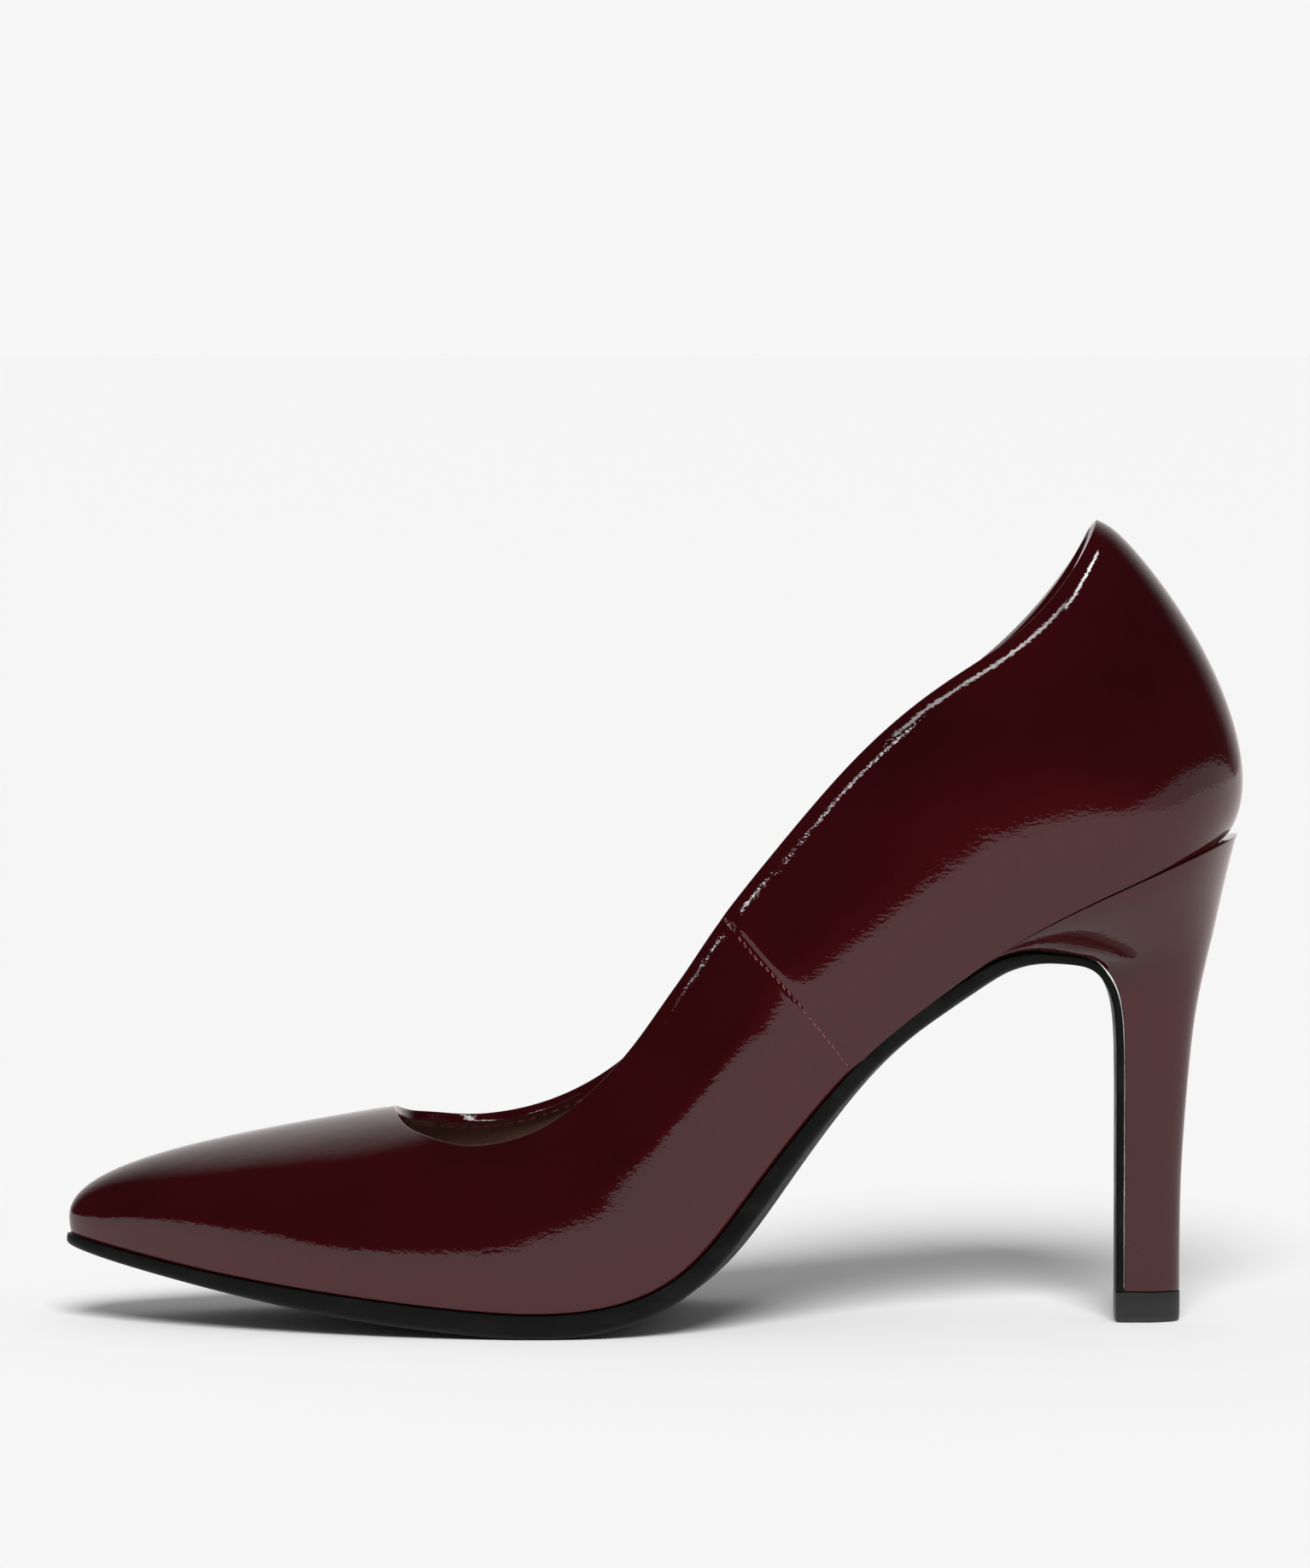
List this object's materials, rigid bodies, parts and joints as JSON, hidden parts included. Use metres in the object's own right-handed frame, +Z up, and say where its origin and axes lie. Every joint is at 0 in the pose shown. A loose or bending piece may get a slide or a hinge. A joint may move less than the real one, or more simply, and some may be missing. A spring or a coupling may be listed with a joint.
{
  "type": "stiletto pump",
  "caption": "Pointed patent pump for a right foot: low-cut collar, slim covered heel, thin black sole that runs down the heel breast, and a black heel tip.",
  "frame": {"origin": "on the floor, in the middle of the shoe's length and width", "axes": "+X from the toe to the heel, +Y to the outer side of the foot, +Z up"},
  "size_m": [0.227, 0.076, 0.1556],
  "materials": {
    "patent": "oxblood patent, high gloss with fine crinkle",
    "sock": "smooth brown lining, matt",
    "sole": "black satin",
    "tip": "black, matt"
  },
  "bodies": {
    "root": {"upper": "patent", "insole": "sock", "outsole": "sole", "heel": "patent", "top_piece": "tip"}
  },
  "joints": []
}
